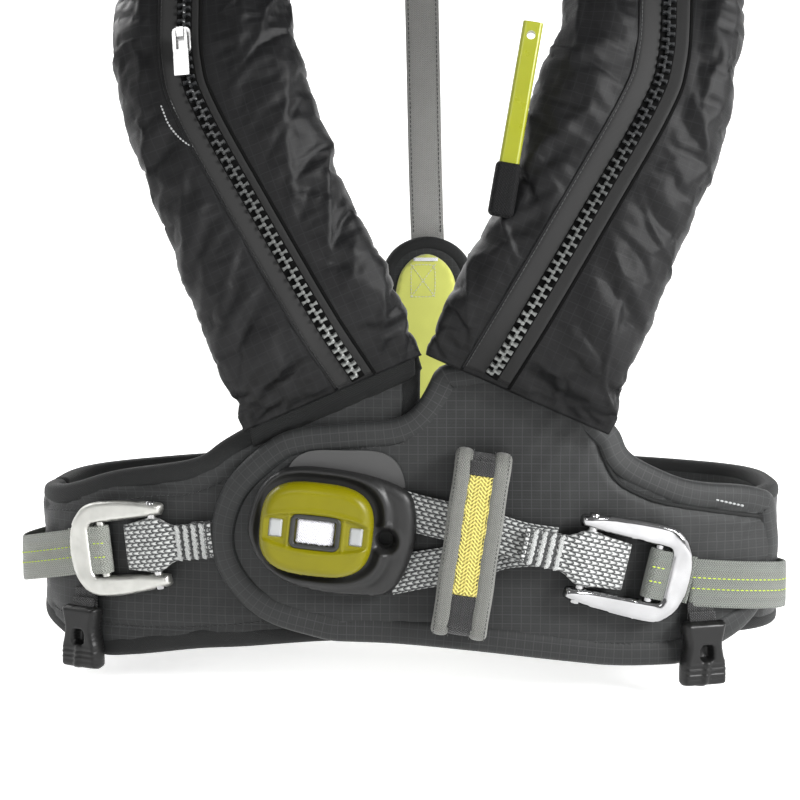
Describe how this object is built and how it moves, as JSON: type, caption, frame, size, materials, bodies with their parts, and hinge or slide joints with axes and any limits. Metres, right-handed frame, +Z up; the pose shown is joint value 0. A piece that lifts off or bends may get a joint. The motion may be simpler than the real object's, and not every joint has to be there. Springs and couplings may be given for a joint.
{
  "type": "inflatable life jacket",
  "caption": "Inflatable life jacket with folded lobes, zip covers, padded belt, harness webbing, metal hook buckles and a turning harness release.",
  "frame": {"origin": "on the wearer's axis, in the middle of the belt's opening, level with the hem of the belt", "axes": "+Z up along the wearer, -Y to the front, +X to the right as seen from the front"},
  "size_m": [0.5169, 0.2873, 0.5432],
  "materials": {
    "cover_fabric": "black ripstop weave, slight sheen",
    "belt_fabric": "charcoal ripstop weave over thin foam, bound edges",
    "bladder_fabric": "coated yellow fabric",
    "zip_tape": "black woven tape",
    "zip_chain": "moulded grey teeth",
    "slider_metal": "grey cast metal",
    "black_plastic": "black moulded plastic",
    "cylinder_steel": "plated steel",
    "seal_rubber": "black rubber",
    "polished_steel": "polished stainless steel",
    "black_rubber": "soft black rubber",
    "whistle_plastic": "orange plastic",
    "clear_plastic": "clear lens",
    "lime_fabric": "lime woven fabric",
    "grey_webbing": "grey woven webbing with lime stitching",
    "lime_plastic": "lime moulded plastic, satin",
    "grey_reflector": "grey reflective insert",
    "white_tape": "white woven tape",
    "silver_webbing": "silver and black chevron webbing",
    "cast_metal": "bead-blasted cast aluminium",
    "polished_metal": "polished cast metal",
    "loop_fabric": "grey tubular webbing",
    "yellow_webbing": "yellow woven webbing",
    "black_webbing": "black webbing",
    "clip_plastic": "dark moulded plastic",
    "black_elastic": "black elastic"
  },
  "bodies": {
    "jacket": {"left_lobe_cover": "cover_fabric", "right_lobe_cover": "cover_fabric", "collar_cover": "cover_fabric", "left_bladder": "bladder_fabric", "right_bladder": "bladder_fabric", "collar_bladder": "bladder_fabric", "left_zip_tape": "zip_tape", "right_zip_tape": "zip_tape", "left_zip_teeth": "zip_chain", "right_zip_teeth": "zip_chain", "firing_head": "black_plastic", "co2_cylinder": "cylinder_steel", "cylinder_seal": "seal_rubber", "lever_pin": "polished_steel", "oral_tube": "black_rubber", "whistle": "whistle_plastic", "rescue_light": "black_plastic", "light_lens": "clear_plastic", "left_front_panel": "belt_fabric", "right_front_panel": "belt_fabric", "back_panel": "belt_fabric", "back_pad_lining": "lime_fabric", "back_tunnel": "belt_fabric", "back_strap": "grey_webbing", "left_side_webbing": "grey_webbing", "right_side_webbing": "grey_webbing", "release_flange": "black_plastic", "release_base": "black_plastic", "release_spring": "polished_steel", "left_harness_webbing": "silver_webbing", "left_harness_end": "silver_webbing", "right_harness_webbing": "silver_webbing", "right_harness_end": "silver_webbing", "left_hook_pin": "polished_steel", "right_hook_pin": "polished_steel", "left_clip_strap": "black_webbing", "right_clip_strap": "black_webbing", "cutter_sleeve": "black_elastic"},
    "release_knob": {"release_cap": "lime_plastic", "cap_reflectors": "grey_reflector", "release_tape": "white_tape", "release_spindle": "polished_steel"},
    "left_hook": {"left_buckle": "cast_metal", "left_webbing_fold": "grey_webbing", "left_buckle_tail": "grey_webbing"},
    "right_hook": {"right_buckle": "polished_metal", "right_webbing_fold": "grey_webbing", "right_buckle_tail": "grey_webbing"},
    "tether_loop": {"loop_sleeve": "loop_fabric", "loop_core": "yellow_webbing", "loop_tab": "black_webbing"},
    "left_clip": {"left_thigh_clip": "clip_plastic"},
    "right_clip": {"right_thigh_clip": "clip_plastic"},
    "line_cutter": {"cutter_handle": "lime_plastic", "cutter_blade": "polished_steel"},
    "slider": {"zip_slider": "slider_metal"},
    "puller": {"zip_puller": "slider_metal"},
    "lever": {"pull_lever": "black_plastic"},
    "tube_cap": {"oral_cap": "black_rubber"}
  },
  "joints": [
    {"name": "release_turn", "type": "hinge", "parent": "jacket", "child": "release_knob", "pos_m": [-0.0495, -0.142, 0.0845], "axis": [0, -1, 0], "range_deg": [0, 90]},
    {"name": "left_hook_tilt", "type": "hinge", "parent": "jacket", "child": "left_hook", "pos_m": [-0.158, -0.10349, 0.0675], "axis": [-0.1192, 0.0253, 0.9925], "range_deg": [0, 30]},
    {"name": "right_hook_tilt", "type": "hinge", "parent": "jacket", "child": "right_hook", "pos_m": [0.116, -0.12755, 0.066], "axis": [-0.2233, -0.0274, -0.9744], "range_deg": [0, 30]},
    {"name": "loop_slide", "type": "slide", "parent": "jacket", "child": "tether_loop", "axis": [1, 0, 0], "range_m": [-0.008, 0.008]},
    {"name": "left_clip_swing", "type": "hinge", "parent": "jacket", "child": "left_clip", "pos_m": [-0.209, -0.09065, 0.02], "axis": [-0.891, 0.454, 0], "range_deg": [0, 70]},
    {"name": "right_clip_swing", "type": "hinge", "parent": "jacket", "child": "right_clip", "pos_m": [0.19, -0.11307, 0.02], "axis": [-0.9397, -0.342, 0], "range_deg": [0, 70]},
    {"name": "cutter_draw", "type": "slide", "parent": "jacket", "child": "line_cutter", "axis": [0.165, 0.086, 0.9825], "range_m": [0, 0.05]},
    {"name": "zip_run", "type": "slide", "parent": "jacket", "child": "slider", "axis": [-0.0813, 0.2033, 0.9757], "range_m": [-0.01, 0.01]},
    {"name": "puller_swing", "type": "hinge", "parent": "slider", "child": "puller", "pos_m": [-0.12899, -0.15031, 0.38463], "axis": [-0.9965, 0, -0.083], "range_deg": [0, 105]},
    {"name": "lever_pull", "type": "hinge", "parent": "jacket", "child": "lever", "pos_m": [-0.06317, -0.13772, 0.20775], "axis": [0.0235, 0.9976, -0.0654], "range_deg": [0, 60]},
    {"name": "tube_cap_pull", "type": "slide", "parent": "jacket", "child": "tube_cap", "axis": [-0.3388, -0.0695, -0.9383], "range_m": [0, 0.012]}
  ]
}
